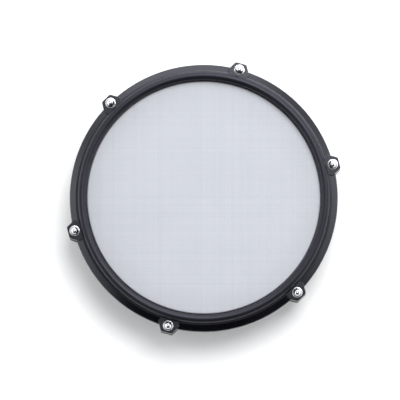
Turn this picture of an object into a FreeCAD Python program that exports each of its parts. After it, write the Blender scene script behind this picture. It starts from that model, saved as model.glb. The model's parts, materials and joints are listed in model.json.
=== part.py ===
"""Eight-inch practice pad with a tunable mesh head.

A moulded shell carries a round bearing wall.  A woven mesh head is stretched over that
wall and pulled down by a counter hoop with six lug ears.  Six tension rods pass through
the ears into threaded inserts in the shell.  A rubber rim cover is pushed over the
hoop's collar, and a foam damper lies under the mesh.

Millimetres, +Z up.  The origin is on the table, on the pad's axis.  A rod is on +X.
"""
import FreeCAD
import Part

import math
import os

# ---------------------------------------------------------------- driving dimensions
LUGS = 6                     # rods, ears, lugs and feet, evenly spaced
HEAD_R = 101.6               # bearing wall, outer radius: a standard 8 inch head
ROD_CIRCLE_R = 116.7         # circle through the rod axes
HOOP_R = 117.5               # outer radius of the counter hoop
EAR_CIRCLE_R = 114.2         # circle through the centres of the hexagonal ears and lugs
EAR_FLATS = 17.0             # hexagonal ear, across flats
LUG_FLATS = 16.6             # hexagonal lug on the shell, across flats
THREAD_R = 2.95              # tension rod, plain cylinder at the thread's major radius
STAND_BORE_R = 3.4           # stand thread, M8, at its minor radius

# ---------------------------------------------------------------- heights
FOOT_Z = 3.0                 # underside of the shell's floor
FLOOR_Z = 6.0                # top of the shell's floor
WALL_TOP_Z = 30.0            # top of the shell's outer wall and lugs
BEARING_Z = 45.4             # highest line of the bearing edge
EAR_TOP_Z = 44.3             # top of the hoop's seat and ears
HOOP_BOTTOM_Z = 33.0         # lower edge of the hoop's skirt and ears
SHOULDER_Z = 41.0            # where the hoop bears on the flesh hoop
COLLAR_TOP_Z = 50.0          # top of the hoop's collar, inside the rubber
CROWN_Z = 53.0               # highest line of the rubber rim

# ---------------------------------------------------------------- walls and gaps
WALL = 3.4                   # bearing wall thickness
EDGE_R = 1.2                 # bearing edge rounding
EDGE_SLOPE = 1.6             # how far the bearing edge slopes down on its inner side
MESH_T = 0.6                 # woven mesh thickness
SKIN_GAP = 0.05              # gap between touching curved faces
FIT_GAP = 0.1                # gap round a part in its pocket
BREAK = 0.5                  # a broken outside edge
MESH_IN_R = HEAD_R + SKIN_GAP
MESH_OUT_R = MESH_IN_R + MESH_T
COLLAR_IN_R, COLLAR_OUT_R = 105.0, 108.4
LIP_R = 102.9                # inner lip of the rubber rim
RIM_OUT_R = 110.4            # outer side of the rubber rim
SEAT_R = 112.0               # outer edge of the hoop's flat seat
CONE_DROP = 3.8              # how far the hoop's flange slopes down

# ---------------------------------------------------------------- fasteners and fittings
EAR_HOLE_R = 3.3
WASHER_R, WASHER_HOLE_R, WASHER_T, WASHER_EDGE_R = 4.55, 3.1, 1.0, 0.35
ROD_FLANGE_R, ROD_FLANGE_T = 4.05, 1.2
ROD_HEAD_R, ROD_HEAD_FLATS, ROD_HEAD_H = 3.4, 6.2, 5.0
ROD_TIP_Z = 12.0
INSERT_R, INSERT_BORE_R = 4.0, 3.02
INSERT_BOTTOM_Z, INSERT_TOP_Z = 18.6, 29.5
SCREW_R = 1.45
SCREW_HEAD_R, SCREW_HEAD_H = 2.8, 1.8
SCREW_GAP = 0.2              # gap round a screw's shank in a plate
HEAD_GAP = 0.6               # gap round a screw's head in a well
PLATE_SCREW_L, KEEPER_SCREW_L, FOOT_SCREW_L = 10.0, 8.0, 9.5
FOOT_CIRCLE_R, FOOT_R, FOOT_POCKET = 84.0, 9.0, 1.0
POST_CIRCLE_R, POST_R, POST_TOP_Z = 70.0, 4.0, 24.0
PLATE_R, PLATE_T = 92.0, 2.0
FOAM_R, FOAM_TOP_Z, FOAM_EDGE_R = 90.0, 42.6, 2.0
BOSS_R, BOSS_TOP_Z = 17.0, 17.0
STAND_HEX_FLATS, STAND_HEX_Z = 18.8, 12.0
STAND_BODY_R = 6.2
STAND_SET_BACK = 0.3         # the insert's lower end lies this far inside the floor
KEEPER_R, KEEPER_HOLE_R, KEEPER_T, KEEPER_SCREW_R = 16.0, 5.0, 2.0, 13.6
KEEPER_SCREWS = 3
PILOT_SPARE = 1.0            # how far a screw's pilot hole goes past its tip
RECESS_R = (22.0, 66.0)      # shallow ring moulded into the shell's underside
RECESS_DEPTH = 0.8

UP = FreeCAD.Vector(0, 0, 1)
STEP_DEG = 360.0 / LUGS
BETWEEN_LUGS = STEP_DEG / 2
NUDGE = 1.0                  # overshoot of a cutting tool past the face that it cuts


# ---------------------------------------------------------------- shape helpers
def point(radius, z, angle=0.0):
    a = math.radians(angle)
    return FreeCAD.Vector(radius * math.cos(a), radius * math.sin(a), z)


def turned(outline):
    """A solid of revolution.  Each outline entry is (r, z), or an arc's (mid, end) pair."""
    edges = []
    here = start = point(*outline[0])
    for entry in outline[1:] + [outline[0]]:
        if isinstance(entry[0], tuple):
            middle, end = point(*entry[0]), point(*entry[1])
            edges.append(Part.Arc(here, middle, end).toShape())
        else:
            end = point(*entry)
            if end.distanceToPoint(here) > 1e-7:
                edges.append(Part.makeLine(here, end))
        here = end
    assert here.distanceToPoint(start) < 1e-7
    face = Part.Face(Part.Wire(edges))
    return face.revolve(FreeCAD.Vector(0, 0, 0), UP, 360)


def quarter(centre, radius, degrees):
    """The point of an arc about centre (r, z), for an outline's arc entry."""
    a = math.radians(degrees)
    return (centre[0] + radius * math.cos(a), centre[1] + radius * math.sin(a))


def rod(radius, low, high, at=(0.0, 0.0)):
    return Part.makeCylinder(radius, high - low, FreeCAD.Vector(at[0], at[1], low), UP)


def washer(radius, hole, low, high):
    return rod(radius, low, high).cut(rod(hole, low - NUDGE, high + NUDGE))


def hexagon(flats, low, high, at_radius=0.0):
    """A hexagonal prism with one flat facing +X."""
    corner = flats / math.sqrt(3)
    ring = [
        FreeCAD.Vector(at_radius, 0, low) + point(corner, 0, 30 + 60 * k)
        for k in range(6)
    ]
    wire = Part.makePolygon(ring + ring[:1])
    return Part.Face(wire).extrude(UP * (high - low))


def placed(shape, index, radius=0.0, start=0.0):
    """A copy moved out along +X and turned to lug number index."""
    copy = shape.copy()
    copy.translate(FreeCAD.Vector(radius, 0, 0))
    copy.rotate(FreeCAD.Vector(0, 0, 0), UP, start + STEP_DEG * index)
    return copy


def around(shape, radius=0.0, start=0.0, count=LUGS):
    """Copies spaced evenly about the axis."""
    copies = []
    for k in range(count):
        copy = shape.copy()
        copy.translate(FreeCAD.Vector(radius, 0, 0))
        copy.rotate(FreeCAD.Vector(0, 0, 0), UP, start + 360.0 / count * k)
        copies.append(copy)
    return copies


def top_circle(shape, z):
    """The widest full circle among the edges at height z, for a fillet."""
    level = [e for e in shape.Edges if abs(e.BoundBox.ZMin - z) < 1e-6
             and abs(e.BoundBox.ZMax - z) < 1e-6 and len(e.Vertexes) == 1]
    return [max(level, key=lambda e: e.BoundBox.XLength)]


def joined(shapes):
    return shapes[0].multiFuse(shapes[1:]).removeSplitter()


def screw(head_low, length, head_up=True):
    """A pan-head screw with a cross recess on the axis.  The shank runs away from the head."""
    head = rod(SCREW_HEAD_R, 0, SCREW_HEAD_H)
    head = head.makeFillet(0.7, top_circle(head, SCREW_HEAD_H))
    shank = rod(SCREW_R, -length, 0)
    body = head.fuse(shank)
    slot_long, slot_wide, slot_deep = 3.2, 0.8, 1.0
    for along, across in ((slot_long, slot_wide), (slot_wide, slot_long)):
        corner = FreeCAD.Vector(-along / 2, -across / 2, SCREW_HEAD_H - slot_deep)
        body = body.cut(Part.makeBox(along, across, slot_deep + NUDGE, corner))
    if not head_up:
        body.rotate(FreeCAD.Vector(0, 0, 0), FreeCAD.Vector(1, 0, 0), 180)
    body.translate(FreeCAD.Vector(0, 0, head_low))
    return body


# ---------------------------------------------------------------- the shell
BITE = 0.5                   # how far a rib or post sinks into what it stands on
FLOOR_EDGE_R = 99.0          # where the floor's underside starts to curve up
HEEL_MID = (103.9, 4.9)      # a point (r, z) on the rounded heel
HEEL_R, HEEL_Z = 106.0, 8.5  # where the outer wall leaves the rounded heel
HEEL_IN = (103.4, 8.7)       # the same place on the wall's inner face
FLOOR_TOP_EDGE_R = 101.0     # outer edge of the floor's top
WALL_TOP_R = 113.0
WALL_TOP_IN_R = 110.4
WALL_TOP_EDGE = 1.0
LUG_BEVEL = 0.6
LUG_WEB_W, LUG_WEB_TOP_Z = 9.0, 24.0
CHIN_IN = (103.0, 4.0)       # underside of the lugs (r, z), at the heel
CHIN_OUT = (126.0, 20.0)     # and past their outer flat
RIB_T = 2.0
CHANNEL_RIB_TOP_Z, SPOKE_TOP_Z = 20.0, 10.0
FOOT_BOSS_R, FOOT_BOSS_TOP_Z = 4.5, 14.0


def shell_bowl():
    return turned([
        (0, FOOT_Z), (FLOOR_EDGE_R, FOOT_Z), (HEEL_MID, (HEEL_R, HEEL_Z)),
        (WALL_TOP_R, WALL_TOP_Z - WALL_TOP_EDGE), (WALL_TOP_R - WALL_TOP_EDGE, WALL_TOP_Z),
        (WALL_TOP_IN_R, WALL_TOP_Z), HEEL_IN, (FLOOR_TOP_EDGE_R, FLOOR_Z), (0, FLOOR_Z),
    ])


def shell_cavity():
    """The space inside the bowl, from the floor's top to past the wall's top."""
    past_top = WALL_TOP_Z + NUDGE
    return turned([
        (0, FLOOR_Z), (FLOOR_TOP_EDGE_R, FLOOR_Z), HEEL_IN, (WALL_TOP_IN_R, WALL_TOP_Z),
        (WALL_TOP_IN_R, past_top), (0, past_top),
    ])


def bearing_wall():
    centre = (HEAD_R - EDGE_R, BEARING_Z - EDGE_R)
    top = quarter(centre, EDGE_R, 90)
    return turned([
        (HEAD_R - WALL, FLOOR_Z - NUDGE), (HEAD_R, FLOOR_Z - NUDGE), (HEAD_R, centre[1]),
        (quarter(centre, EDGE_R, 45), top), (HEAD_R - WALL, BEARING_Z - EDGE_SLOPE),
    ])


def lug_column():
    """The hexagonal lug on +X.  A cone slopes its lower end up and out from the heel."""
    column = hexagon(LUG_FLATS, FOOT_Z, WALL_TOP_Z, EAR_CIRCLE_R)
    outline = [e for e in column.Edges if e.BoundBox.ZMin > WALL_TOP_Z - 1e-6]
    column = column.makeChamfer(LUG_BEVEL, outline)
    web_in = CHIN_IN[0] + NUDGE
    web = Part.makeBox(EAR_CIRCLE_R - web_in, LUG_WEB_W, LUG_WEB_TOP_Z,
                       FreeCAD.Vector(web_in, -LUG_WEB_W / 2, 0))
    chin = turned([
        (CHIN_IN[0], -NUDGE), (CHIN_OUT[0], -NUDGE), CHIN_OUT, CHIN_IN,
    ])
    return column.fuse(web).cut(chin).cut(shell_cavity())


def radial_rib(inner, outer, top_z):
    return Part.makeBox(outer - inner, RIB_T, top_z - FLOOR_Z + BITE,
                        FreeCAD.Vector(inner, -RIB_T / 2, FLOOR_Z - BITE))


def shell_ribs():
    """Ribs that join the two walls under the flesh hoop, and spokes across the floor."""
    inside = turned([
        (0, FLOOR_Z - BITE), (FLOOR_TOP_EDGE_R + 2 * BITE, FLOOR_Z - BITE),
        (HEEL_IN[0] + 2 * BITE, HEEL_IN[1]), (WALL_TOP_IN_R + 2 * BITE, WALL_TOP_Z),
        (0, WALL_TOP_Z),
    ])
    channel = radial_rib(HEAD_R - BITE, WALL_TOP_IN_R, CHANNEL_RIB_TOP_Z).common(inside)
    spoke = radial_rib(BOSS_R - BITE, HEAD_R - WALL + BITE, SPOKE_TOP_Z)
    half_pitch = STEP_DEG / 4
    return (around(channel, start=half_pitch, count=2 * LUGS)
            + around(spoke, start=half_pitch, count=2 * LUGS))


def base_shell():
    low = FLOOR_Z - BITE
    posts = around(rod(POST_R, low, POST_TOP_Z), POST_CIRCLE_R, BETWEEN_LUGS)
    foot_bosses = around(rod(FOOT_BOSS_R, low, FOOT_BOSS_TOP_Z), FOOT_CIRCLE_R, BETWEEN_LUGS)
    body = joined(
        [shell_bowl(), bearing_wall(), rod(BOSS_R, low, BOSS_TOP_Z)]
        + around(lug_column()) + shell_ribs() + posts + foot_bosses
    )
    lug_cuts = [
        rod(INSERT_R, INSERT_BOTTOM_Z, WALL_TOP_Z + NUDGE),
        rod(EAR_HOLE_R, 0, INSERT_BOTTOM_Z + NUDGE),
    ]
    foot_cuts = [
        rod(FOOT_R + FIT_GAP, FOOT_Z - NUDGE, FOOT_Z + FOOT_POCKET),
        rod(SCREW_R, FOOT_Z, FOOT_BOSS_TOP_Z - PILOT_SPARE),
    ]
    post_hole = rod(SCREW_R, POST_TOP_Z - PLATE_SCREW_L - PILOT_SPARE, POST_TOP_Z + NUDGE)
    keeper_hole = rod(SCREW_R, BOSS_TOP_Z - KEEPER_SCREW_L - PILOT_SPARE, BOSS_TOP_Z + NUDGE)
    cuts = [
        rod(STAND_BODY_R, FOOT_Z - NUDGE, STAND_HEX_Z + NUDGE),
        hexagon(STAND_HEX_FLATS + 2 * FIT_GAP, STAND_HEX_Z, BOSS_TOP_Z + NUDGE),
        washer(RECESS_R[1], RECESS_R[0], FOOT_Z - NUDGE, FOOT_Z + RECESS_DEPTH),
    ]
    for cut in lug_cuts:
        cuts += around(cut, ROD_CIRCLE_R)
    for cut in foot_cuts:
        cuts += around(cut, FOOT_CIRCLE_R, BETWEEN_LUGS)
    cuts += around(post_hole, POST_CIRCLE_R, BETWEEN_LUGS)
    cuts += around(keeper_hole, KEEPER_SCREW_R, count=KEEPER_SCREWS)
    return body.cut(Part.makeCompound(cuts))


def lug_insert():
    """A knurled brass insert: a bored cylinder with two grooves round its outside."""
    groove_r, groove_h = INSERT_R - 0.35, 1.4
    body = washer(INSERT_R, INSERT_BORE_R, INSERT_BOTTOM_Z, INSERT_TOP_Z)
    third = (INSERT_TOP_Z - INSERT_BOTTOM_Z) / 3
    for middle in (INSERT_BOTTOM_Z + third, INSERT_TOP_Z - third):
        low, high = middle - groove_h / 2, middle + groove_h / 2
        body = body.cut(washer(INSERT_R + NUDGE, groove_r, low, high))
    return body


# ---------------------------------------------------------------- stand fitting and feet
def stand_insert():
    """Brass insert for a threaded stand post, with a hexagonal flange against turning."""
    body = rod(STAND_BODY_R - SKIN_GAP, FOOT_Z + STAND_SET_BACK, STAND_HEX_Z)
    flange = hexagon(STAND_HEX_FLATS, STAND_HEX_Z, BOSS_TOP_Z)
    blank = body.fuse(flange).removeSplitter()
    return blank.cut(rod(STAND_BORE_R, 0, BOSS_TOP_Z + NUDGE))


def insert_keeper():
    plate = washer(KEEPER_R, KEEPER_HOLE_R, BOSS_TOP_Z, BOSS_TOP_Z + KEEPER_T)
    hole = rod(SCREW_R + SCREW_GAP, 0, CROWN_Z)
    holes = around(hole, KEEPER_SCREW_R, count=KEEPER_SCREWS)
    return plate.cut(Part.makeCompound(holes))


def keeper_screws():
    one = screw(BOSS_TOP_Z + KEEPER_T, KEEPER_T + KEEPER_SCREW_L)
    return Part.makeCompound(around(one, KEEPER_SCREW_R, count=KEEPER_SCREWS))


FOOT_HEAD_Z = 2.4            # where the foot screw's head bears, inside the foot
FOOT_EDGE_R = 1.6            # rounding round the foot's sole


def rubber_foot():
    centre = (FOOT_R - FOOT_EDGE_R, FOOT_EDGE_R)
    foot = turned([
        (0, 0), (centre[0], 0), (quarter(centre, FOOT_EDGE_R, -45), (FOOT_R, centre[1])),
        (FOOT_R, FOOT_Z + FOOT_POCKET), (0, FOOT_Z + FOOT_POCKET),
    ])
    well = rod(SCREW_HEAD_R + HEAD_GAP, -NUDGE, FOOT_HEAD_Z)
    return foot.cut(well).cut(rod(SCREW_R + FIT_GAP, 0, CROWN_Z))


def foot_screws():
    one = screw(FOOT_HEAD_Z, FOOT_SCREW_L, head_up=False)
    return Part.makeCompound(around(one, FOOT_CIRCLE_R, BETWEEN_LUGS))


# ---------------------------------------------------------------- damper under the mesh
def damper_plate():
    plate = rod(PLATE_R, POST_TOP_Z, POST_TOP_Z + PLATE_T)
    holes = around(rod(SCREW_R + SCREW_GAP, 0, CROWN_Z), POST_CIRCLE_R, BETWEEN_LUGS)
    return plate.cut(Part.makeCompound(holes))


def plate_screws():
    one = screw(POST_TOP_Z + PLATE_T, PLATE_T + PLATE_SCREW_L)
    return Part.makeCompound(around(one, POST_CIRCLE_R, BETWEEN_LUGS))


def damper_foam():
    """A foam disc on the plate, with wells over the plate's screw heads."""
    low = POST_TOP_Z + PLATE_T
    disc = rod(FOAM_R, low, FOAM_TOP_Z)
    disc = disc.makeFillet(FOAM_EDGE_R, top_circle(disc, FOAM_TOP_Z))
    well = rod(SCREW_HEAD_R + HEAD_GAP, 0, low + SCREW_HEAD_H + HEAD_GAP)
    return disc.cut(Part.makeCompound(around(well, POST_CIRCLE_R, BETWEEN_LUGS)))


# ---------------------------------------------------------------- head and hoop
SKIRT_LEAVE_Z = 41.3         # where the mesh leaves the wall and slopes out
SKIRT_BEND_Z = 38.4          # where it turns down again, into the channel
SKIRT_FOLD = 0.3             # its outer face turns this much higher
SKIRT_R = 104.95             # inner face of the skirt there
SKIRT_END_Z = 33.4
CHANNEL = (103.0, 107.9)     # flesh hoop, inner and outer radius
CHANNEL_BASE_Z, CHANNEL_LIP_Z = 30.0, 36.0
CHANNEL_T = 1.0


def mesh_head():
    """The woven mesh: flat over the bearing edge, then down and out to the flesh hoop."""
    centre = (HEAD_R - EDGE_R, BEARING_Z - EDGE_R)
    under, over = EDGE_R + SKIN_GAP, EDGE_R + SKIN_GAP + MESH_T
    return turned([
        (0, centre[1] + under), (centre[0], centre[1] + under),
        (quarter(centre, under, 45), (MESH_IN_R, centre[1])), (MESH_IN_R, SKIRT_LEAVE_Z),
        (SKIRT_R, SKIRT_BEND_Z), (SKIRT_R, SKIRT_END_Z),
        (SKIRT_R + MESH_T, SKIRT_END_Z), (SKIRT_R + MESH_T, SKIRT_BEND_Z + SKIRT_FOLD),
        (MESH_OUT_R, SKIRT_LEAVE_Z + SKIRT_FOLD), (MESH_OUT_R, centre[1]),
        (quarter(centre, over, 45), (centre[0], centre[1] + over)),
        (0, centre[1] + over),
    ])


def flesh_hoop():
    """An aluminium channel that holds the mesh's edge.  The counter hoop bears on its outer wall."""
    inner, outer = CHANNEL
    return turned([
        (inner, CHANNEL_BASE_Z), (outer, CHANNEL_BASE_Z), (outer, SHOULDER_Z),
        (outer - CHANNEL_T, SHOULDER_Z), (outer - CHANNEL_T, CHANNEL_BASE_Z + CHANNEL_T),
        (inner + CHANNEL_T, CHANNEL_BASE_Z + CHANNEL_T), (inner + CHANNEL_T, CHANNEL_LIP_Z),
        (inner, CHANNEL_LIP_Z),
    ])


SKIRT_T = 2.6                # thickness of the hoop's outer skirt
RIB_R = (COLLAR_OUT_R, 110.8)  # the rib under the seat, outside the flesh hoop
RIB_END_Z = 36.0
EAR_ROOT_R = 110.5           # an ear starts inside the rib and reaches out
EAR_BEVEL = 0.45
LEAD_IN = (2.1, 1.5)         # chamfer inside the foot of the collar


def counter_hoop():
    """A collar under the rubber, a flat seat, a sloping flange, a skirt and six hexagonal ears."""
    cone_foot_z = EAR_TOP_Z - CONE_DROP
    skirt_in_r = HOOP_R - SKIRT_T
    ring = turned([
        (COLLAR_OUT_R - LEAD_IN[0], SHOULDER_Z), (COLLAR_IN_R, SHOULDER_Z + LEAD_IN[1]),
        (COLLAR_IN_R, COLLAR_TOP_Z), (COLLAR_OUT_R, COLLAR_TOP_Z), (COLLAR_OUT_R, EAR_TOP_Z),
        (SEAT_R, EAR_TOP_Z), (HOOP_R - 0.4, cone_foot_z + 0.3),
        ((HOOP_R - 0.1, cone_foot_z - 0.1), (HOOP_R, cone_foot_z - 0.6)),
        (HOOP_R, HOOP_BOTTOM_Z + BREAK), (HOOP_R - BREAK, HOOP_BOTTOM_Z),
        (skirt_in_r, HOOP_BOTTOM_Z), (skirt_in_r, cone_foot_z - 1.4), (RIB_R[1], 40.8),
        (RIB_R[1], RIB_END_Z), (RIB_R[0], RIB_END_Z), (RIB_R[0], SHOULDER_Z),
    ])
    ear = hexagon(EAR_FLATS, HOOP_BOTTOM_Z, EAR_TOP_Z, EAR_CIRCLE_R)
    outline = [e for e in ear.Edges if e.BoundBox.ZMin > EAR_TOP_Z - 1e-6
               or e.BoundBox.ZMax < HOOP_BOTTOM_Z + 1e-6]
    ear = ear.makeChamfer(EAR_BEVEL, outline).cut(rod(EAR_ROOT_R, 0, CROWN_Z))
    body = joined([ring] + around(ear))
    holes = around(rod(EAR_HOLE_R, 0, CROWN_Z), ROD_CIRCLE_R)
    return body.cut(Part.makeCompound(holes))


CROWN_R = 3.55               # rounding of the rubber rim's crown
LIP_Z = 45.4                 # the rubber's lip, where it starts to curve up
LIP_END_Z = 44.2
BEAD_Z = 45.0                # top of the rubber's bead on the hoop's seat


def rim_cover():
    """The rubber rim: a rounded crown over the collar, an inner lip and an outer bead."""
    crown = (RIM_OUT_R - CROWN_R, CROWN_Z - CROWN_R)
    gap_in, gap_out = COLLAR_IN_R - SKIN_GAP, COLLAR_OUT_R + SKIN_GAP
    gap_top, seat = COLLAR_TOP_Z + SKIN_GAP, EAR_TOP_Z + SKIN_GAP
    bead_r = RIM_OUT_R + 0.5
    return turned([
        (LIP_R, LIP_Z), (LIP_R, LIP_Z + 1.0), ((LIP_R + 0.2, 48.0), (crown[0] - CROWN_R, crown[1])),
        (quarter(crown, CROWN_R, 90), (RIM_OUT_R, crown[1])),
        (RIM_OUT_R, BEAD_Z + 1.0), ((RIM_OUT_R + 0.1, BEAD_Z + 0.4), (bead_r, BEAD_Z)),
        ((bead_r + 0.14, BEAD_Z - 0.3), (bead_r, seat)), (gap_out, seat), (gap_out, gap_top),
        (gap_in, gap_top), (gap_in, LIP_END_Z), (LIP_R + 0.5, LIP_END_Z),
    ])


# ---------------------------------------------------------------- tension rods and washers
FLANGE_Z = EAR_TOP_Z + WASHER_T


def steel_washer():
    blank = washer(WASHER_R, WASHER_HOLE_R, EAR_TOP_Z, FLANGE_Z)
    return blank.makeFillet(WASHER_EDGE_R, top_circle(blank, FLANGE_Z))


DOME_H = 2.9                 # the domed part of the rod's head
MARK_R, MARK_DEPTH = 0.6, 0.5  # centre mark in the dome
THREAD_LEAD_IN = 1.0
ROD_NECK_R = 3.3             # the flange's sloping top meets the head here


def tension_rod():
    """A square drum-key head on a round flange, with a plain shank at the thread's major radius."""
    head_z = FLANGE_Z + ROD_FLANGE_T
    top_z = head_z + ROD_HEAD_H
    half = ROD_HEAD_FLATS / 2
    block = Part.makeBox(ROD_HEAD_FLATS, ROD_HEAD_FLATS, ROD_HEAD_H,
                         FreeCAD.Vector(-half, -half, head_z))
    dome = turned([
        (0, head_z), (ROD_HEAD_R, head_z), (ROD_HEAD_R, top_z - DOME_H),
        ((2.45, top_z - 1.2), (1.0, top_z - 0.15)), (MARK_R, top_z), (0, top_z - MARK_DEPTH),
    ])
    rim_z = head_z - BREAK
    flange = turned([
        (0, FLANGE_Z), (ROD_FLANGE_R, FLANGE_Z), (ROD_FLANGE_R, rim_z),
        (ROD_FLANGE_R - 0.3, rim_z + 0.35), (ROD_NECK_R, head_z + 0.05), (0, head_z + 0.05),
    ])
    shank = turned([
        (0, ROD_TIP_Z), (THREAD_R - THREAD_LEAD_IN, ROD_TIP_Z),
        (THREAD_R, ROD_TIP_Z + THREAD_LEAD_IN), (THREAD_R, FLANGE_Z), (0, FLANGE_Z),
    ])
    return joined([flange, block.common(dome), shank])


# ---------------------------------------------------------------- the assembly
def parts():
    """Every node by name, as a closed solid or a group of identical fasteners."""
    made = {
        "base_shell": base_shell(),
        "stand_insert": stand_insert(),
        "insert_keeper": insert_keeper(),
        "keeper_screws": keeper_screws(),
        "foot_screws": foot_screws(),
        "damper_plate": damper_plate(),
        "plate_screws": plate_screws(),
        "damper_foam": damper_foam(),
        "mesh_head": mesh_head(),
        "flesh_hoop": flesh_hoop(),
        "counter_hoop": counter_hoop(),
        "rim_cover": rim_cover(),
    }
    insert, steel = lug_insert(), steel_washer()
    tension, foot = tension_rod(), rubber_foot()
    for k in range(LUGS):
        made[f"lug_insert_{k + 1}"] = placed(insert, k, ROD_CIRCLE_R)
        made[f"steel_washer_{k + 1}"] = placed(steel, k, ROD_CIRCLE_R)
        made[f"tension_rod_{k + 1}"] = placed(tension, k, ROD_CIRCLE_R)
        made[f"rubber_foot_{k + 1}"] = placed(foot, k, FOOT_CIRCLE_R, start=BETWEEN_LUGS)
    return made


def main():
    os.makedirs("parts", exist_ok=True)
    for name, shape in parts().items():
        solids = shape.Solids
        whole = solids[0] if len(solids) == 1 else Part.makeCompound(solids)
        sound = whole.isValid() and all(s.isClosed() and s.Volume > 0 for s in solids)
        print(f"{name:16s} {len(solids)} solid(s) {whole.Volume:10.1f} mm3 valid {sound}")
        whole.exportStep(f"parts/{name}.step")


main()
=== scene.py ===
# %% [markdown]
# # A practice pad with a tunable mesh head
#
# The pad is a shallow shell with a woven mesh head stretched over it. A hoop with six ears pulls
# the head down, one drum rod through each ear. A thick rubber roll covers the hoop's collar so that
# a stick that misses the head lands softly.
#
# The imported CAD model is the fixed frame. It gives every size and place, and the pieces made here
# take over its visible nodes with finer shapes: rounded edges, real threads, a woven cloth.

import json
import math

import bmesh
import bpy
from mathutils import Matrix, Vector


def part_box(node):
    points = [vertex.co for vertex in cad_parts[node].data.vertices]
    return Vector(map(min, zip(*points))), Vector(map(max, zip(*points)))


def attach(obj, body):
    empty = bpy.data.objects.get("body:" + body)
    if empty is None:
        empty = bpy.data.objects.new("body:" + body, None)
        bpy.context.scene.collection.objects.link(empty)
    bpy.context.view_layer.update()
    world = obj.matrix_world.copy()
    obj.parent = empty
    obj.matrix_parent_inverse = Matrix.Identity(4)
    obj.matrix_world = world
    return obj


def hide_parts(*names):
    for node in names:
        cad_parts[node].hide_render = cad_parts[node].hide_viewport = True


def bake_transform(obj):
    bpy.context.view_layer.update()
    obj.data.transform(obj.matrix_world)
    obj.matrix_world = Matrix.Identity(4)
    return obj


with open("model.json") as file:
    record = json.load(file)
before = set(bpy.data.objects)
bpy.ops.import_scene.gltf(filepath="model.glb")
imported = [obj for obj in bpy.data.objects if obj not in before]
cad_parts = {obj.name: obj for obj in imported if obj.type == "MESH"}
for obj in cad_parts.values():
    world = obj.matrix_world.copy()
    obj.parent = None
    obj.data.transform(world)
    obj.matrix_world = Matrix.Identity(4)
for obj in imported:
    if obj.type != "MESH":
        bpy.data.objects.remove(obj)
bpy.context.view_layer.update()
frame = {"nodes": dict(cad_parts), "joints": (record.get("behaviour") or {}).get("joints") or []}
MM = 0.001

# %% [markdown]
# ## Sizes
#
# Places come from the frame, so a change in the CAD moves the pieces with it. The hoop's box holds
# its ears along X and its round outer edge along Y, and each rod's axis is its joint's own point.

# %% Read the sizes from the frame
hoop_low, hoop_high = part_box("counter_hoop")
_, rim_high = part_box("rim_cover")
washer_low, washer_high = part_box("steel_washer_1")
rod_low, rod_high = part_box("tension_rod_1")
foam_low, foam_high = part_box("damper_foam")
foot_low, foot_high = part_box("rubber_foot_1")
stand_low, stand_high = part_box("stand_insert")
mesh_low, mesh_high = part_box("mesh_head")

rod_joints = [joint for joint in frame["joints"] if joint["name"].startswith("rod_")]
LUGS = len(rod_joints)
LUG_STEP = 2 * math.pi / LUGS
ROD_CIRCLE = Vector(rod_joints[0]["pos_m"]).xy.length
HOOP_R = hoop_high.y
EAR_INRADIUS = 8.5 * MM              # from an ear's centre to each of its flats
EAR_CIRCLE = hoop_high.x - EAR_INRADIUS
EAR_TOP, EAR_BOTTOM = washer_low.z, hoop_low.z
print("lugs", LUGS, "rod circle mm", ROD_CIRCLE / MM, "hoop mm", HOOP_R / MM)

# %% [markdown]
# ## Camera
#
# The camera looks almost straight down, leaning a few degrees towards the lower edge of the
# picture, through a long lens, so the pad's outline stays a circle. The first rod, on +X, shows
# a little above the right-hand side, so the picture's own axes are turned from the pad's.

# %% Place the camera
PICTURE_TURN = math.radians(-14.5)   # the picture's rightward direction, about +Z
CAMERA_LEAN = math.radians(4.8)      # away from straight down
CAMERA_DISTANCE = 6.0                # far off, so that the lens is long and the view nearly parallel
PICTURE_WIDTH = 0.3504               # what the picture's width spans at the hoop
AIM = (-3.3, -2.07)                  # picture centre from the pad's axis, in mm, right and up

rightward = Vector((math.cos(PICTURE_TURN), math.sin(PICTURE_TURN), 0))
upward = Vector((-rightward.y, rightward.x, 0))


def seen_from(azimuth, elevation, distance, target=Vector((0, 0, 0))):
    """A point round the pad. Azimuth is in degrees from the picture's right, counter-clockwise."""
    a, e = math.radians(azimuth), math.radians(elevation)
    level = rightward * math.cos(a) + upward * math.sin(a)
    return target + distance * (level * math.cos(e) + Vector((0, 0, math.sin(e))))


def aim_at(obj, target):
    """Turns a lamp or camera, which look along their own -Z, towards a point."""
    obj.rotation_euler = (target - obj.location).to_track_quat("-Z", "Y").to_euler()


aim_point = rightward * AIM[0] * MM + upward * AIM[1] * MM + Vector((0, 0, EAR_TOP))
camera_data = bpy.data.cameras.new("picture_camera")
camera = bpy.data.objects.new("picture_camera", camera_data)
bpy.context.scene.collection.objects.link(camera)
camera.location = seen_from(-90, 90 - math.degrees(CAMERA_LEAN), CAMERA_DISTANCE, aim_point)
view_direction = (aim_point - camera.location).normalized()
camera.rotation_euler = view_direction.to_track_quat("-Z", "Y").to_euler()
camera_up = camera.rotation_euler.to_matrix() @ Vector((0, 1, 0))
camera_roll = camera_up.cross(upward).dot(-view_direction)
camera.rotation_euler.rotate_axis("Z", math.asin(max(-1, min(1, camera_roll))))
camera_data.lens = camera_data.sensor_width * CAMERA_DISTANCE / PICTURE_WIDTH
camera_data.clip_end = 50            # beyond the far edge of the floor
bpy.context.scene.camera = camera
print("lens mm", round(camera_data.lens, 1), "roll", round(math.degrees(camera_roll), 2))

# %% [markdown]
# ## Studio light
#
# One large softbox stands high on the far side. It whitens the floor and gives the soft shadow
# under the near side. Bright walls to the left, right and far side show as sheen on the sloping
# flange, and the near side is left dim, so the flange turns nearly black there. The walls are
# a gradient in the world, which has no edges to show in the chrome.

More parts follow.
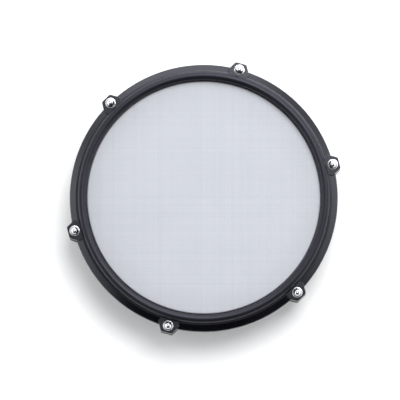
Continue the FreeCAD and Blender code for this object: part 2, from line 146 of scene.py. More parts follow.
# %% Build the softbox and the world
def softbox(name, azimuth, elevation, distance, size, power):
    """A round area lamp that looks at the pad, with its size in metres and its power in watts."""
    data = bpy.data.lights.new(name, "AREA")
    data.shape = "DISK"
    data.size = size
    data.energy = power
    lamp = bpy.data.objects.new(name, data)
    bpy.context.scene.collection.objects.link(lamp)
    lamp.location = seen_from(azimuth, elevation, distance)
    aim_at(lamp, Vector((0, 0, 0)))


softbox("key_softbox", azimuth=66, elevation=58, distance=1.8, size=1.55, power=38.0)


def node(tree, kind, inputs=None, **settings):
    """Adds a shader node. Each input is a value, or the socket that feeds it."""
    made = tree.nodes.new(kind)
    for name, value in settings.items():
        setattr(made, name, value)
    for name, value in (inputs or {}).items():
        if isinstance(value, bpy.types.NodeSocket):
            tree.links.new(value, made.inputs[name])
        else:
            made.inputs[name].default_value = value
    return made


def calc(tree, operation, a, b=0.0, clamp=False):
    """One step of arithmetic on values or sockets."""
    return node(tree, "ShaderNodeMath", {0: a, 1: b}, operation=operation, use_clamp=clamp).outputs[0]


def span(tree, value, low, high, to_low=0.0, to_high=1.0):
    """Maps low..high to to_low..to_high with soft ends."""
    inputs = dict(enumerate((value, low, high, to_low, to_high)))
    return node(tree, "ShaderNodeMapRange", inputs, interpolation_type="SMOOTHSTEP").outputs[0]


ROOM_LIGHT = 0.8                     # strength of the ceiling
WALL_LIGHT = 1.0                     # strength of the walls, near the horizon
PANEL_LIGHT = 2.5                    # what each bright panel adds to the walls
PANELS = (-6, 98, 191)               # the panels' azimuths: right, far side, left
PANEL_ELEVATION = 8
DARK_SIDE = seen_from(-86, 0, 1.0)   # the side of the room that is left dim
world = bpy.data.worlds.new("studio")
world.use_nodes = True
bpy.context.scene.world = world
room = world.node_tree
room.nodes.clear()
facing = node(room, "ShaderNodeTexCoord").outputs["Generated"]


def towards(direction):
    """1 where the room is seen in this direction, 0 square to it."""
    return node(
        room, "ShaderNodeVectorMath", {0: facing, 1: direction}, operation="DOT_PRODUCT"
    ).outputs["Value"]


dark_side = towards(DARK_SIDE)
height = node(room, "ShaderNodeSeparateXYZ", {0: facing}).outputs["Z"]
side_walls = span(room, dark_side, 0.74, 0.5)   # 0 on the dim side, 1 on the other three
wall_band = span(room, height, 0.55, 0.1)       # 1 at the horizon, fading out overhead
walls = calc(room, "MULTIPLY", calc(room, "MULTIPLY", side_walls, wall_band), WALL_LIGHT)
for azimuth in PANELS:
    ahead = towards(seen_from(azimuth, PANEL_ELEVATION, 1.0))
    panel = span(room, ahead, 0.72, 0.96, 0.0, PANEL_LIGHT)
    walls = calc(room, "ADD", walls, calc(room, "MULTIPLY", panel, wall_band))
ceiling = span(room, dark_side, 0.6, -0.1, 0.05, 1.0)
strength = calc(room, "ADD", walls, calc(room, "MULTIPLY", ceiling, ROOM_LIGHT))
DAYLIGHT = (0.97, 0.985, 1.0, 1)
background = node(room, "ShaderNodeBackground", {"Color": DAYLIGHT, "Strength": strength})
node(room, "ShaderNodeOutputWorld", {"Surface": background.outputs[0]})
bpy.context.scene.view_settings.view_transform = "Standard"

# %% [markdown]
# ## Floor
#
# The floor is a plain sheet of white paper, wide enough to fill every view. It isn't part of the
# object.

# %% Lay the floor
def use_nodes(name):
    """A new material and its node tree, still empty."""
    material = bpy.data.materials.new(name)
    material.use_nodes = True
    material.node_tree.nodes.clear()
    return material, material.node_tree


def finish_shader(tree, shader):
    """Joins a material's shader to its output."""
    node(tree, "ShaderNodeOutputMaterial", {"Surface": shader.outputs[0]})


def nothing_selected():
    if bpy.context.object and bpy.context.object.mode != "OBJECT":
        bpy.ops.object.mode_set(mode="OBJECT")
    bpy.ops.object.select_all(action="DESELECT")


def only(piece):
    """Makes a piece the one selected and active object."""
    nothing_selected()
    piece.select_set(True)
    bpy.context.view_layer.objects.active = piece


nothing_selected()
FLOOR_SIZE = 9
bpy.ops.mesh.primitive_plane_add(size=FLOOR_SIZE, location=(0, 0, 0))
floor = bpy.context.object
floor.name = "paper_floor"
paper, paper_tree = use_nodes("white_paper")
finish_shader(paper_tree, node(paper_tree, "ShaderNodeBsdfPrincipled", {
    "Base Color": (0.86, 0.86, 0.86, 1), "Roughness": 0.9, "Specular IOR Level": 0.2,
    "Emission Color": (1, 1, 1, 1), "Emission Strength": 0.15,
}))
floor.data.materials.append(paper)

# %% [markdown]
# ## Shaping helpers
#
# Most of a drum pad is round, so most pieces start as one vertex that is extruded along half of
# a cross-section and then spun about the pad's axis. A corner of the section can be given a
# softness, the distance from the corner at which its rounding begins: that is a vertex bevel on
# the wire, done before the spin, so the rounding is exact all the way round.

# %% Draw and spin a cross-section
ROUNDING_STEPS = 6                   # faces round one softened corner


def draw_section(name, outline, closed=True):
    """A wire in the XZ plane. Each corner of the outline is (radius, height, softness) in mm."""
    nothing_selected()
    x, z, _ = outline[0]
    bpy.ops.mesh.primitive_plane_add(size=MM, location=(x * MM, 0, z * MM))
    piece = bpy.context.object
    piece.name = name
    bpy.ops.object.mode_set(mode="EDIT")
    bpy.ops.mesh.select_mode(type="VERT")
    bpy.ops.mesh.select_all(action="SELECT")
    bpy.ops.mesh.merge(type="CENTER")
    corners = outline[1:] + (outline[:1] if closed else [])
    for next_x, next_z, _ in corners:
        step = ((next_x - x) * MM, 0, (next_z - z) * MM)
        bpy.ops.mesh.extrude_region_move(TRANSFORM_OT_translate={"value": step})
        x, z = next_x, next_z
    bpy.ops.mesh.select_all(action="SELECT")
    bpy.ops.mesh.remove_doubles(threshold=1e-7)
    bpy.ops.mesh.select_all(action="DESELECT")
    bpy.ops.object.mode_set(mode="OBJECT")
    bpy.ops.object.transform_apply(location=True)
    for softness in sorted({corner[2] for corner in outline if corner[2] > 0}):
        soften_corners(piece, [c for c in outline if c[2] == softness], softness)
    return piece


def soften_corners(piece, corners, softness):
    """Rounds the wire at the given corners by the same softness."""
    places = [Vector((x, 0, z)) * MM for x, z, _ in corners]
    for vertex in piece.data.vertices:
        vertex.select = any((vertex.co - place).length < 1e-6 for place in places)
    bpy.ops.object.mode_set(mode="EDIT")
    bpy.ops.mesh.select_mode(type="VERT")
    bpy.ops.mesh.bevel(
        offset=softness * MM, segments=ROUNDING_STEPS, affect="VERTICES", clamp_overlap=False
    )
    bpy.ops.mesh.select_all(action="DESELECT")
    bpy.ops.object.mode_set(mode="OBJECT")


def close_and_face_outwards(piece):
    """Merges doubles, removes stray edges, points the faces outwards and prints the volume."""
    only(piece)
    bpy.ops.object.mode_set(mode="EDIT")
    bpy.ops.mesh.select_mode(type="VERT")
    bpy.ops.mesh.select_all(action="SELECT")
    bpy.ops.mesh.remove_doubles(threshold=2e-6)
    bpy.ops.mesh.delete_loose(use_verts=True, use_edges=True, use_faces=False)
    bpy.ops.mesh.select_all(action="SELECT")
    bpy.ops.mesh.normals_make_consistent(inside=False)
    bpy.ops.object.mode_set(mode="OBJECT")
    shape = bmesh.new()
    shape.from_mesh(piece.data)
    volume = shape.calc_volume(signed=True)
    open_edges = sum(1 for edge in shape.edges if not edge.is_manifold)
    shape.free()
    if volume < 0:
        bpy.ops.object.mode_set(mode="EDIT")
        bpy.ops.mesh.select_all(action="SELECT")
        bpy.ops.mesh.flip_normals()
        bpy.ops.object.mode_set(mode="OBJECT")
    print(f"{piece.name}: {len(piece.data.vertices)} vertices, "
          f"{abs(volume) / MM ** 3:.0f} cubic mm, {open_edges} open edges")
    return piece


def spin_section(piece, steps):
    """Spins a drawn wire once about the pad's axis."""
    only(piece)
    bpy.ops.object.mode_set(mode="EDIT")
    bpy.ops.mesh.select_all(action="SELECT")
    bpy.ops.mesh.spin(steps=steps, angle=2 * math.pi, center=(0, 0, 0), axis=(0, 0, 1))
    bpy.ops.object.mode_set(mode="OBJECT")
    return close_and_face_outwards(piece)


def turned(name, outline, steps):
    """A solid turned about the pad's axis from a closed outline."""
    return spin_section(draw_section(name, outline), steps)


# %% [markdown]
# Shapes that aren't round are cut from or added to the round ones. A Boolean modifier does that,
# applied at once, and the tool is thrown away. Pieces that repeat are modelled once, at the first
# rod on +X, and each copy is a turned duplicate with its own mesh. A prism's edges are picked by
# their direction before they are bevelled.

# %% Combine, copy and shade
def apply_modifier(piece, kind, **settings):
    """Adds a modifier with these settings and applies it at once."""
    only(piece)
    modifier = piece.modifiers.new(kind.lower(), kind)
    for name, value in settings.items():
        setattr(modifier, name, value)
    bpy.ops.object.modifier_apply(modifier=modifier.name)


def combine(piece, tool, operation):
    """UNION, DIFFERENCE or INTERSECT of the piece with a tool, which is then removed."""
    apply_modifier(piece, "BOOLEAN", operation=operation, object=tool, solver="EXACT")
    bpy.data.objects.remove(tool)


def join(pieces, name):
    """Joins pieces into one mesh without merging their surfaces."""
    nothing_selected()
    for piece in pieces:
        piece.select_set(True)
    bpy.context.view_layer.objects.active = pieces[0]
    bpy.ops.object.join()
    pieces[0].name = name
    return pieces[0]


def moved(piece, x=0.0, turn=0.0):
    """Moves a piece out along X, turns it about the pad's axis and applies both to its mesh."""
    only(piece)
    piece.location.x += x
    bpy.ops.object.transform_apply(location=True)
    piece.rotation_euler.z = turn
    bpy.ops.object.transform_apply(rotation=True)
    return piece


def copies_round(piece, name, start=0.0):
    """One copy for each lug, numbered from 1. The first copy is the piece itself."""
    made = []
    for k in range(LUGS):
        copy = piece
        if k:
            only(piece)
            bpy.ops.object.duplicate(linked=False)
            copy = bpy.context.object
        copy.name = f"{name}_{k + 1}"
        made.append(copy)
    for k, copy in enumerate(made):
        moved(copy, turn=start + LUG_STEP * k)
    return made


def shade(piece, degrees):
    """Smooth shading, apart from edges that are sharper than this angle."""
    only(piece)
    bpy.ops.object.shade_smooth_by_angle(angle=math.radians(degrees))


def hexagon(name, inradius, low, high, corner, edge):
    """A hexagonal prism in mm about the pad's axis, a flat facing +X, with rounded edges."""
    nothing_selected()
    bpy.ops.mesh.primitive_cylinder_add(
        vertices=6, radius=inradius * MM / math.cos(math.pi / 6), depth=(high - low) * MM,
        location=(0, 0, (low + high) / 2 * MM),
    )
    piece = bpy.context.object
    piece.name = name
    bpy.ops.object.transform_apply(location=True)
    for wanted, offset, segments in (("upright", corner, 4), ("level", edge, 3)):
        bevel_edges(piece, wanted, offset, segments)
    return piece


def pick_edges(piece, test):
    """Enters edit mode with only the edges selected that pass a test of their two ends."""
    only(piece)
    bpy.ops.object.mode_set(mode="EDIT")
    bpy.ops.mesh.select_mode(type="EDGE")
    bpy.ops.mesh.select_all(action="DESELECT")
    bpy.ops.object.mode_set(mode="OBJECT")
    points = piece.data.vertices
    for edge in piece.data.edges:
        edge.select = test(*(points[i].co for i in edge.vertices))
    bpy.ops.object.mode_set(mode="EDIT")


def bevel_edges(piece, wanted, offset, segments):
    """Bevels a prism's upright edges, or the level edges round its two ends."""
    def chosen(a, b):
        return (abs(a.z - b.z) > 0.9 * (a - b).length) == (wanted == "upright")

    pick_edges(piece, chosen)
    bpy.ops.mesh.bevel(offset=offset * MM, segments=segments, affect="EDGES")
    bpy.ops.mesh.select_all(action="DESELECT")
    bpy.ops.object.mode_set(mode="OBJECT")


def plug(radius, low, high, steps):
    """A plain round cutter in mm about the pad's axis."""
    nothing_selected()
    bpy.ops.mesh.primitive_cylinder_add(
        vertices=steps, radius=radius * MM, depth=(high - low) * MM,
        location=(0, 0, (low + high) / 2 * MM),
    )
    piece = bpy.context.object
    bpy.ops.object.transform_apply(location=True)
    return piece


# %% [markdown]
# ## Shared surface effects
#
# Moulded plastic, rubber and metal all have a fine grain and the marks of handling. Each effect is
# one node group that puts out only values, and the materials below place it with their own sizes.
# Sizes are in metres on Object coordinates, so the grain is the same size on every piece.

# %% Fine grain
def group(name, inputs, outputs):
    """A new node group, with the sockets that bring its inputs and those that take its results."""
    made = bpy.data.node_groups.new(name, "ShaderNodeTree")
    for socket, kind, value in inputs:
        item = made.interface.new_socket(name=socket, in_out="INPUT", socket_type=kind)
        if value is not None:
            item.default_value = value
    for socket, kind in outputs:
        made.interface.new_socket(name=socket, in_out="OUTPUT", socket_type=kind)
    return made, node(made, "NodeGroupInput").outputs, node(made, "NodeGroupOutput").inputs


FLOAT, VECTOR = "NodeSocketFloat", "NodeSocketVector"


def make_grain():
    """Height of a fine moulded or rolled grain, and a slow change in tone over the piece."""
    made, given, gives = group(
        "fine_grain", [("Vector", VECTOR, None), ("Size", FLOAT, 0.0004)],
        [("Height", FLOAT), ("Tone", FLOAT)],
    )
    fine_scale = calc(made, "DIVIDE", 1.0, given["Size"])
    fine = node(made, "ShaderNodeTexNoise",
                {"Vector": given["Vector"], "Scale": fine_scale, "Detail": 2.0, "Roughness": 0.6})
    slow = node(made, "ShaderNodeTexNoise",
                {"Vector": given["Vector"], "Scale": 24.0, "Detail": 3.0, "Roughness": 0.55})
    made.links.new(fine.outputs[0], gives["Height"])
    made.links.new(slow.outputs[0], gives["Tone"])
    return made


grain_group = make_grain()


# %% [markdown]
# Handling leaves short hairline scratches in all directions and a little dust. A scratch is the
# thin line where a stretched noise crosses its middle value, kept only in patches.

# %% Scratches and dust
def make_marks():
    made, given, gives = group(
        "handling_marks", [("Vector", VECTOR, None), ("Amount", FLOAT, 0.5)],
        [("Scratch", FLOAT), ("Dust", FLOAT)],
    )
    lines = []
    for turn, stretch in ((0.6, (900, 45, 120)), (2.2, (60, 1100, 150))):
        laid = node(made, "ShaderNodeMapping",
                    {"Vector": given["Vector"], "Rotation": (0.2, 0.1, turn), "Scale": stretch})
        noise = node(made, "ShaderNodeTexNoise",
                     {"Vector": laid.outputs[0], "Scale": 1.0, "Detail": 1.0})
        off_middle = calc(made, "ABSOLUTE", calc(made, "SUBTRACT", noise.outputs[0], 0.5))
        lines.append(span(made, off_middle, 0.006, 0.0))
    patches = node(made, "ShaderNodeTexNoise",
                   {"Vector": given["Vector"], "Scale": 70.0, "Detail": 1.0})
    patch = span(made, patches.outputs[0], 0.52, 0.68)
    both = calc(made, "MAXIMUM", lines[0], lines[1])
    scratch = calc(made, "MULTIPLY", calc(made, "MULTIPLY", both, patch), given["Amount"])
    specks = node(made, "ShaderNodeTexVoronoi", {"Vector": given["Vector"], "Scale": 420.0})
    speck = span(made, specks.outputs["Distance"], 0.16, 0.05)
    dust = calc(made, "MULTIPLY", calc(made, "MULTIPLY", speck, patch), given["Amount"])
    made.links.new(scratch, gives["Scratch"])
    made.links.new(dust, gives["Dust"])
    return made


marks_group = make_marks()


def place_group(tree, effect, inputs):
    """Places a group in a material and gives back the sockets of its results."""
    return node(tree, "ShaderNodeGroup", inputs, node_tree=effect).outputs


def blend_colours(tree, factor, dark, light):
    """Mixes two colours, each a constant or a socket, by a factor."""
    dark, light = ((*c, 1) if isinstance(c, tuple) else c for c in (dark, light))
    # A Mix node has sockets for every data type. The colours are its inputs 6 and 7, output 2.
    return node(tree, "ShaderNodeMix", {0: factor, 6: dark, 7: light}, data_type="RGBA").outputs[2]


def bump(tree, height, distance, strength=1.0):
    """Normals for a height map, with the distance in metres that a height of 1 stands for."""
    return node(tree, "ShaderNodeBump",
                {"Height": height, "Distance": distance, "Strength": strength}).outputs[0]


# %% [markdown]
# ## Black plastic and rubber
#
# The hoop and shell are black plastic with a satin spark-eroded grain. The roll is rubber, a
# little softer in its sheen. Both are nearly black, so what shows is how they catch the light:
# the roughness, which the grain and marks break up, matters more than the colour. The sheen is
# tinted a little blue on the hoop and the roll.

# %% Moulded materials
WHITE = (1.0, 1.0, 1.0)
DUST_GREY = (0.3, 0.3, 0.29)


def moulded(name, dark, light, rough, grain_size, grain_depth, marks, specular, sheen=WHITE):
    """A plastic or rubber finish. The grain's size and depth are in metres."""
    material, tree = use_nodes(name)
    place = node(tree, "ShaderNodeTexCoord").outputs["Object"]
    grain = place_group(tree, grain_group, {"Vector": place, "Size": grain_size})
    wear = place_group(tree, marks_group, {"Vector": place, "Amount": marks})
    tone = span(tree, grain["Tone"], 0.3, 0.7)
    colour = blend_colours(tree, tone, dark, light)
    dusty = blend_colours(tree, calc(tree, "MULTIPLY", wear["Dust"], 0.35), colour, DUST_GREY)
    worn = calc(tree, "ADD", calc(tree, "MULTIPLY", wear["Scratch"], -0.12),
                calc(tree, "MULTIPLY", wear["Dust"], 0.2))
    uneven = calc(tree, "ADD", calc(tree, "MULTIPLY", tone, 0.06), rough)
    roughness = calc(tree, "ADD", uneven, worn, clamp=True)
    relief = calc(tree, "SUBTRACT", grain["Height"], calc(tree, "MULTIPLY", wear["Scratch"], 0.6))
    shader = node(tree, "ShaderNodeBsdfPrincipled", {
        "Base Color": dusty, "Roughness": roughness, "Normal": bump(tree, relief, grain_depth),
        "Specular IOR Level": specular, "Specular Tint": (*sheen, 1.0),
    })
    finish_shader(tree, shader)
    return material


hoop_plastic = moulded(
    "satin_hoop_plastic", dark=(0.002, 0.002, 0.003), light=(0.0035, 0.0035, 0.005), rough=0.17,
    grain_size=0.00035, grain_depth=0.000007, marks=0.6, specular=0.46, sheen=(0.86, 0.87, 1.0),
)
shell_plastic = moulded(
    "satin_shell_plastic", dark=(0.004, 0.004, 0.005), light=(0.007, 0.007, 0.0085), rough=0.55,
    grain_size=0.00045, grain_depth=0.00004, marks=0.5, specular=0.25,
)
roll_rubber = moulded(
    "roll_rubber", dark=(0.003, 0.003, 0.0045), light=(0.006, 0.006, 0.008), rough=0.42,
    grain_size=0.0003, grain_depth=0.000012, marks=0.7, specular=0.36, sheen=(0.8, 0.81, 1.0),
)
foot_rubber = moulded(
    "foot_rubber", dark=(0.02, 0.02, 0.021), light=(0.035, 0.034, 0.033), rough=0.7,
    grain_size=0.0005, grain_depth=0.00005, marks=1.0, specular=0.35,
)
inner_plastic = moulded(
    "plate_plastic", dark=(0.03, 0.03, 0.032), light=(0.05, 0.05, 0.054), rough=0.6,
    grain_size=0.0006, grain_depth=0.00005, marks=0.2, specular=0.5,
)


# %% [markdown]
# ## Metals
#
# Chrome is nearly a mirror: its own detail is a faint ripple in the plating and hairline
# scratches that widen the reflection. Zinc, brass and aluminium are duller, so they get more
# roughness and a deeper ripple. A slow stain takes each one from its clean colour to a darker one.

# %% Metal materials
METAL_GRAIN = 0.0009


def metal(name, colour, stain, rough, ripple, marks):
    """A bare or plated metal. The ripple is the depth of its grain, in metres."""
    material, tree = use_nodes(name)
    place = node(tree, "ShaderNodeTexCoord").outputs["Object"]
    grain = place_group(tree, grain_group, {"Vector": place, "Size": METAL_GRAIN})
    wear = place_group(tree, marks_group, {"Vector": place, "Amount": marks})
    tone = span(tree, grain["Tone"], 0.35, 0.7)
    tinted = blend_colours(tree, tone, colour, stain)
    uneven = calc(tree, "ADD", calc(tree, "MULTIPLY", grain["Height"], rough * 0.5), rough * 0.75)
    roughness = calc(tree, "ADD", uneven, calc(tree, "MULTIPLY", wear["Scratch"], 0.25), clamp=True)
    shader = node(tree, "ShaderNodeBsdfPrincipled", {
        "Base Color": tinted, "Metallic": 1.0, "Roughness": roughness,
        "Normal": bump(tree, grain["Height"], ripple),
    })
    finish_shader(tree, shader)
    return material


rod_chrome = metal(
    "rod_chrome", colour=(0.6, 0.61, 0.625), stain=(0.53, 0.54, 0.56),
    rough=0.07, ripple=0.000004, marks=0.6,
)
washer_zinc = metal(
    "washer_zinc", colour=(0.78, 0.78, 0.79), stain=(0.67, 0.68, 0.7),
    rough=0.2, ripple=0.000008, marks=0.8,
)
insert_brass = metal(
    "insert_brass", colour=(0.78, 0.58, 0.27), stain=(0.6, 0.42, 0.2),
    rough=0.3, ripple=0.00001, marks=0.5,
)
channel_aluminium = metal(
    "channel_aluminium", colour=(0.76, 0.77, 0.78), stain=(0.66, 0.67, 0.69),
    rough=0.34, ripple=0.000012, marks=0.6,
)
screw_steel = metal(
    "screw_black_zinc", colour=(0.16, 0.16, 0.17), stain=(0.1, 0.1, 0.11),
    rough=0.38, ripple=0.00001, marks=0.6,
)

# %% [markdown]
# ## Mesh head cloth
#
# The head is cut flat and pulled down over the bearing edge, so its weave follows the flat cut.
# The piece gets a UV map of that cut in metres: the distance from the centre along the cloth,
# at the vertex's own bearing. The weave group turns it into warp and weft threads that pass over
# and under each other. The small gaps between them are painted dark: partly the dark foam seen
# through the holes, partly painted shade under the cloth.

# %% Weave
def thread_rows(made, across, along, filling, phase):
    """The height of one set of threads, rounded across and waving along, and which thread it is."""
    row = calc(made, "FLOOR", across)
    off_centre = calc(made, "ABSOLUTE", calc(made, "SUBTRACT", calc(made, "FRACT", across), 0.5))
    edge = calc(made, "DIVIDE", calc(made, "MULTIPLY", off_centre, 2.0), filling)
    round_top = calc(made, "SUBTRACT", 1.0, calc(made, "MULTIPLY", edge, edge), clamp=True)
    profile = calc(made, "SQRT", round_top)
    swing = calc(made, "MULTIPLY", calc(made, "ADD", calc(made, "ADD", along, row), phase), math.pi)
    wave = calc(made, "MULTIPLY", calc(made, "COSINE", swing), 0.3)
    on_thread = span(made, edge, 1.0, 0.85)
    lifted = calc(made, "ADD", calc(made, "MULTIPLY", profile, 0.6), wave)
    return calc(made, "MULTIPLY", lifted, on_thread), on_thread, row


def make_weave():
    made, given, gives = group(
        "open_weave",
        [("Vector", VECTOR, None), ("Pitch", FLOAT, 0.001), ("Filling", FLOAT, 0.7)],
        [("Height", FLOAT), ("Cover", FLOAT), ("Thread", FLOAT)],
    )
    per_metre = calc(made, "DIVIDE", 1.0, given["Pitch"])
    spread = node(made, "ShaderNodeVectorMath", {0: given["Vector"], "Scale": per_metre},
                  operation="SCALE")
    parts = node(made, "ShaderNodeSeparateXYZ", {0: spread.outputs[0]}).outputs
    warp, warp_on, warp_row = thread_rows(made, parts["X"], parts["Y"], given["Filling"], 0.5)
    weft, weft_on, weft_row = thread_rows(made, parts["Y"], parts["X"], given["Filling"], 1.5)
    tones = []
    for row, first in ((warp_row, 0.5), (weft_row, 300.5)):
        seed = calc(made, "ADD", row, first)
        tone = node(made, "ShaderNodeTexWhiteNoise", {"W": seed}, noise_dimensions="1D")
        tones.append(tone.outputs["Value"])
    warp_tone, weft_tone = tones
    warp_above = calc(made, "GREATER_THAN", warp, weft)
    top_thread = node(made, "ShaderNodeMix", {0: warp_above, 2: weft_tone, 3: warp_tone},
                      data_type="FLOAT")
    made.links.new(calc(made, "MAXIMUM", warp, weft), gives["Height"])
    made.links.new(calc(made, "MAXIMUM", warp_on, weft_on), gives["Cover"])
    made.links.new(top_thread.outputs[0], gives["Thread"])
    return made


weave_group = make_weave()
WEAVE_PITCH = 0.0007                 # from one thread to the next
THREAD_FILLING = 0.72                # how much of the pitch a thread fills
WEAVE_TURN = PICTURE_TURN            # the threads lie square to the picture


def make_head_cloth():
    material, tree = use_nodes("head_cloth")
    flat_cut = node(tree, "ShaderNodeUVMap", uv_map="flat_cut").outputs[0]
    weave = place_group(tree, weave_group,
                        {"Vector": flat_cut, "Pitch": WEAVE_PITCH, "Filling": THREAD_FILLING})
    slow = node(tree, "ShaderNodeTexNoise", {"Vector": flat_cut, "Scale": 18.0, "Detail": 4.0})
    tone = calc(tree, "ADD", calc(tree, "MULTIPLY", weave["Thread"], 0.55),
                calc(tree, "MULTIPLY", slow.outputs[0], 0.45))
    thread = blend_colours(tree, tone, (0.393, 0.406, 0.44), (0.482, 0.495, 0.53))
    # The gaps are painted dark: partly the dark foam below, partly painted shade under the cloth.
    cloth = blend_colours(tree, weave["Cover"], (0.2, 0.21, 0.235), thread)
    shader = node(tree, "ShaderNodeBsdfPrincipled", {
        "Base Color": cloth, "Roughness": 0.62, "Specular IOR Level": 0.3,
        "Normal": bump(tree, weave["Height"], 0.00012, 0.7),
    })
    finish_shader(tree, shader)
    return material


head_cloth = make_head_cloth()


# %% [markdown]
# ## Mesh head
#
# The cloth starts as one line: level across the head, round the bearing edge, down the wall and
# out into the flesh hoop's channel. Spinning the line gives the cloth's inner face, and a
# Solidify modifier gives it the thickness of two plies. A drumhead is pulled so tight that it is
# flat, so it needs no cloth simulation. Its skirt crosses the joint between the shell and the
# hoop.

# %% Make the head
CLOTH_T = 0.6
WALL_R, WALL_FOOT = 101.65, 41.3     # the bearing wall, and where the cloth leaves it
CHANNEL_R, CHANNEL_TOP = 104.95, 38.4   # where the cloth drops into the flesh hoop's channel
FLAT_RINGS = (0, 40, 80)             # radii that divide the flat into shorter faces
cloth_z = mesh_high.z / MM - CLOTH_T
head_line = [
    *((ring, cloth_z, 0) for ring in FLAT_RINGS), (WALL_R, cloth_z, 0.75),
    (WALL_R, WALL_FOOT, 0.8), (CHANNEL_R, CHANNEL_TOP, 0.8), (CHANNEL_R, mesh_low.z / MM, 0),
]
head = spin_section(draw_section("mesh_head_cloth", head_line, closed=False), steps=192)


def lay_flat_cut(piece, centre_z):
    """UV map of the flat cut: distance from the centre along the cloth, at the same bearing."""
    def ring_of(place):
        return (round(place.xy.length, 6), round(place.z, 6))

    def along_cloth(ring):
        return (0, ring[0]) if ring[1] > centre_z - 1e-6 else (1, -ring[1])

    walked, before, walks = 0.0, (0.0, centre_z), {}
    for ring in sorted({ring_of(v.co) for v in piece.data.vertices}, key=along_cloth):
        walked += math.dist(ring, before)
        walks[ring] = walked
        before = ring
    layer = piece.data.uv_layers.new(name="flat_cut")
    for loop in piece.data.loops:
        place = piece.data.vertices[loop.vertex_index].co
        far, bearing = walks[ring_of(place)], math.atan2(place.y, place.x) - WEAVE_TURN
        layer.data[loop.index].uv = (far * math.cos(bearing), far * math.sin(bearing))
    return walked


cut_radius = lay_flat_cut(head, cloth_z * MM)
apply_modifier(head, "SOLIDIFY", thickness=CLOTH_T * MM, offset=1.0, use_even_offset=True)
shade(head, 40)
head.data.materials.append(head_cloth)
cloth_top = max(v.co.z for v in head.data.vertices)
print("cut radius mm", round(cut_radius / MM, 1), "top mm", round(cloth_top / MM, 2))
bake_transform(head)
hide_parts("mesh_head")

# %% [markdown]
# ## Rubber roll
#
# The roll is one moulding with a U-shaped section: a fat rounded crown, a short inner lip that
# hides the cloth's edge, and a small bead that sits on the hoop's seat. Two big softened corners
# make the crown, and the bead's own corner catches a thin line of light.

# %% Make the roll
COLLAR_IN_R, COLLAR_OUT_R, COLLAR_TOP = 105.0, 108.4, 50.0   # the hoop's collar, inside the roll
FIT = 0.05                           # what the roll stands off the collar
LIP_R, LIP_FOOT = 102.9, 44.2
ROLL_IN_R, ROLL_OUT_R = 103.3, 110.4
CROWN_SOFTNESS = 3.54                # nearly half of the roll's width, so the crown is round
BEAD_R, BEAD_FOOT = 110.98, 44.35
crown = rim_high.z / MM
slot_in, slot_out, slot_top = COLLAR_IN_R - FIT, COLLAR_OUT_R + FIT, COLLAR_TOP + FIT
roll = turned("rim_roll", [
    (LIP_R + 0.5, LIP_FOOT, 0.3), (LIP_R, LIP_FOOT + 1.1, 0.5),
    (ROLL_IN_R, crown, CROWN_SOFTNESS), (ROLL_OUT_R, crown, CROWN_SOFTNESS),
    (ROLL_OUT_R, BEAD_FOOT + 0.7, 0.1), (BEAD_R - 0.06, BEAD_FOOT + 0.95, 0.12),
    (BEAD_R, BEAD_FOOT, 0.05), (slot_out, BEAD_FOOT, 0), (slot_out, slot_top, 0),
    (slot_in, slot_top, 0), (slot_in, LIP_FOOT, 0.1),
], steps=240)
shade(roll, 40)
roll.data.materials.append(roll_rubber)
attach(roll, "hoop")
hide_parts("rim_cover")

# %% [markdown]
# ## Counter hoop
#
# The hoop's ring is spun from its section: the collar that goes up inside the roll, the flat
# seat, the sloping flange and the skirt. The collar's foot bears on the flesh hoop, and a short rib
# outside it keeps the flesh hoop centred. The six hexagonal ears are one prism with rounded edges,
# copied round and added with a single union, and one set of cutters drills the rod holes. The
# Booleans leave long thin faces, whose smooth shading would smear over the ears' flat tops, so a
# Weighted Normal modifier gives the large faces the last word.

# %% Make the hoop
SEAT_OUT_R = 112.0
CONE_DROP = 3.8                      # how far the flange slopes down from the seat
SKIRT_T = 2.6
RIB_OUT_R, RIB_TOP, RIB_FOOT = 110.8, 40.8, 36.0
COLLAR_FOOT = 41.0                   # height where the collar bears on the flesh hoop
EAR_ROOT_R = 110.5                   # an ear starts inside the rib and reaches out
ROD_HOLE_R = 3.3
outer, seat, bottom = HOOP_R / MM, EAR_TOP / MM, EAR_BOTTOM / MM
foot_of_cone = seat - CONE_DROP
hoop = turned("hoop_with_ears", [
    (COLLAR_IN_R + 1.3, COLLAR_FOOT, 0), (COLLAR_IN_R, COLLAR_FOOT + 1.5, 0.2),
    (COLLAR_IN_R, COLLAR_TOP, 0.4), (COLLAR_OUT_R, COLLAR_TOP, 0.4), (COLLAR_OUT_R, seat, 0),
    (SEAT_OUT_R, seat, 0.4), (outer, foot_of_cone, 0.6), (outer, bottom, 0.5),
    (outer - SKIRT_T, bottom, 0.4), (outer - SKIRT_T, foot_of_cone - 1.4, 0.6),
    (RIB_OUT_R, RIB_TOP, 0), (RIB_OUT_R, RIB_FOOT, 0.3), (COLLAR_OUT_R, RIB_FOOT, 0.3),
    (COLLAR_OUT_R, COLLAR_FOOT, 0),
], steps=240)
ear = hexagon("ear", EAR_INRADIUS / MM, bottom, seat + 0.02, corner=1.1, edge=0.5)
ears = join(copies_round(moved(ear, x=EAR_CIRCLE), "ear"), "ears")
combine(ears, plug(EAR_ROOT_R, 0, seat + 9, steps=240), "DIFFERENCE")
combine(hoop, ears, "UNION")
drill = moved(plug(ROD_HOLE_R, bottom - 2, seat + 4, steps=48), x=ROD_CIRCLE)
combine(hoop, join(copies_round(drill, "drill"), "drills"), "DIFFERENCE")
close_and_face_outwards(hoop)
shade(hoop, 28)
apply_modifier(hoop, "WEIGHTED_NORMAL", keep_sharp=True)
hoop.data.materials.append(hoop_plastic)
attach(hoop, "hoop")
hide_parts("counter_hoop")

# %% [markdown]
# ## Washers
#
# Each washer is a punched steel disc: the punch leaves its upper edge rounded and its lower edge
# nearly sharp.

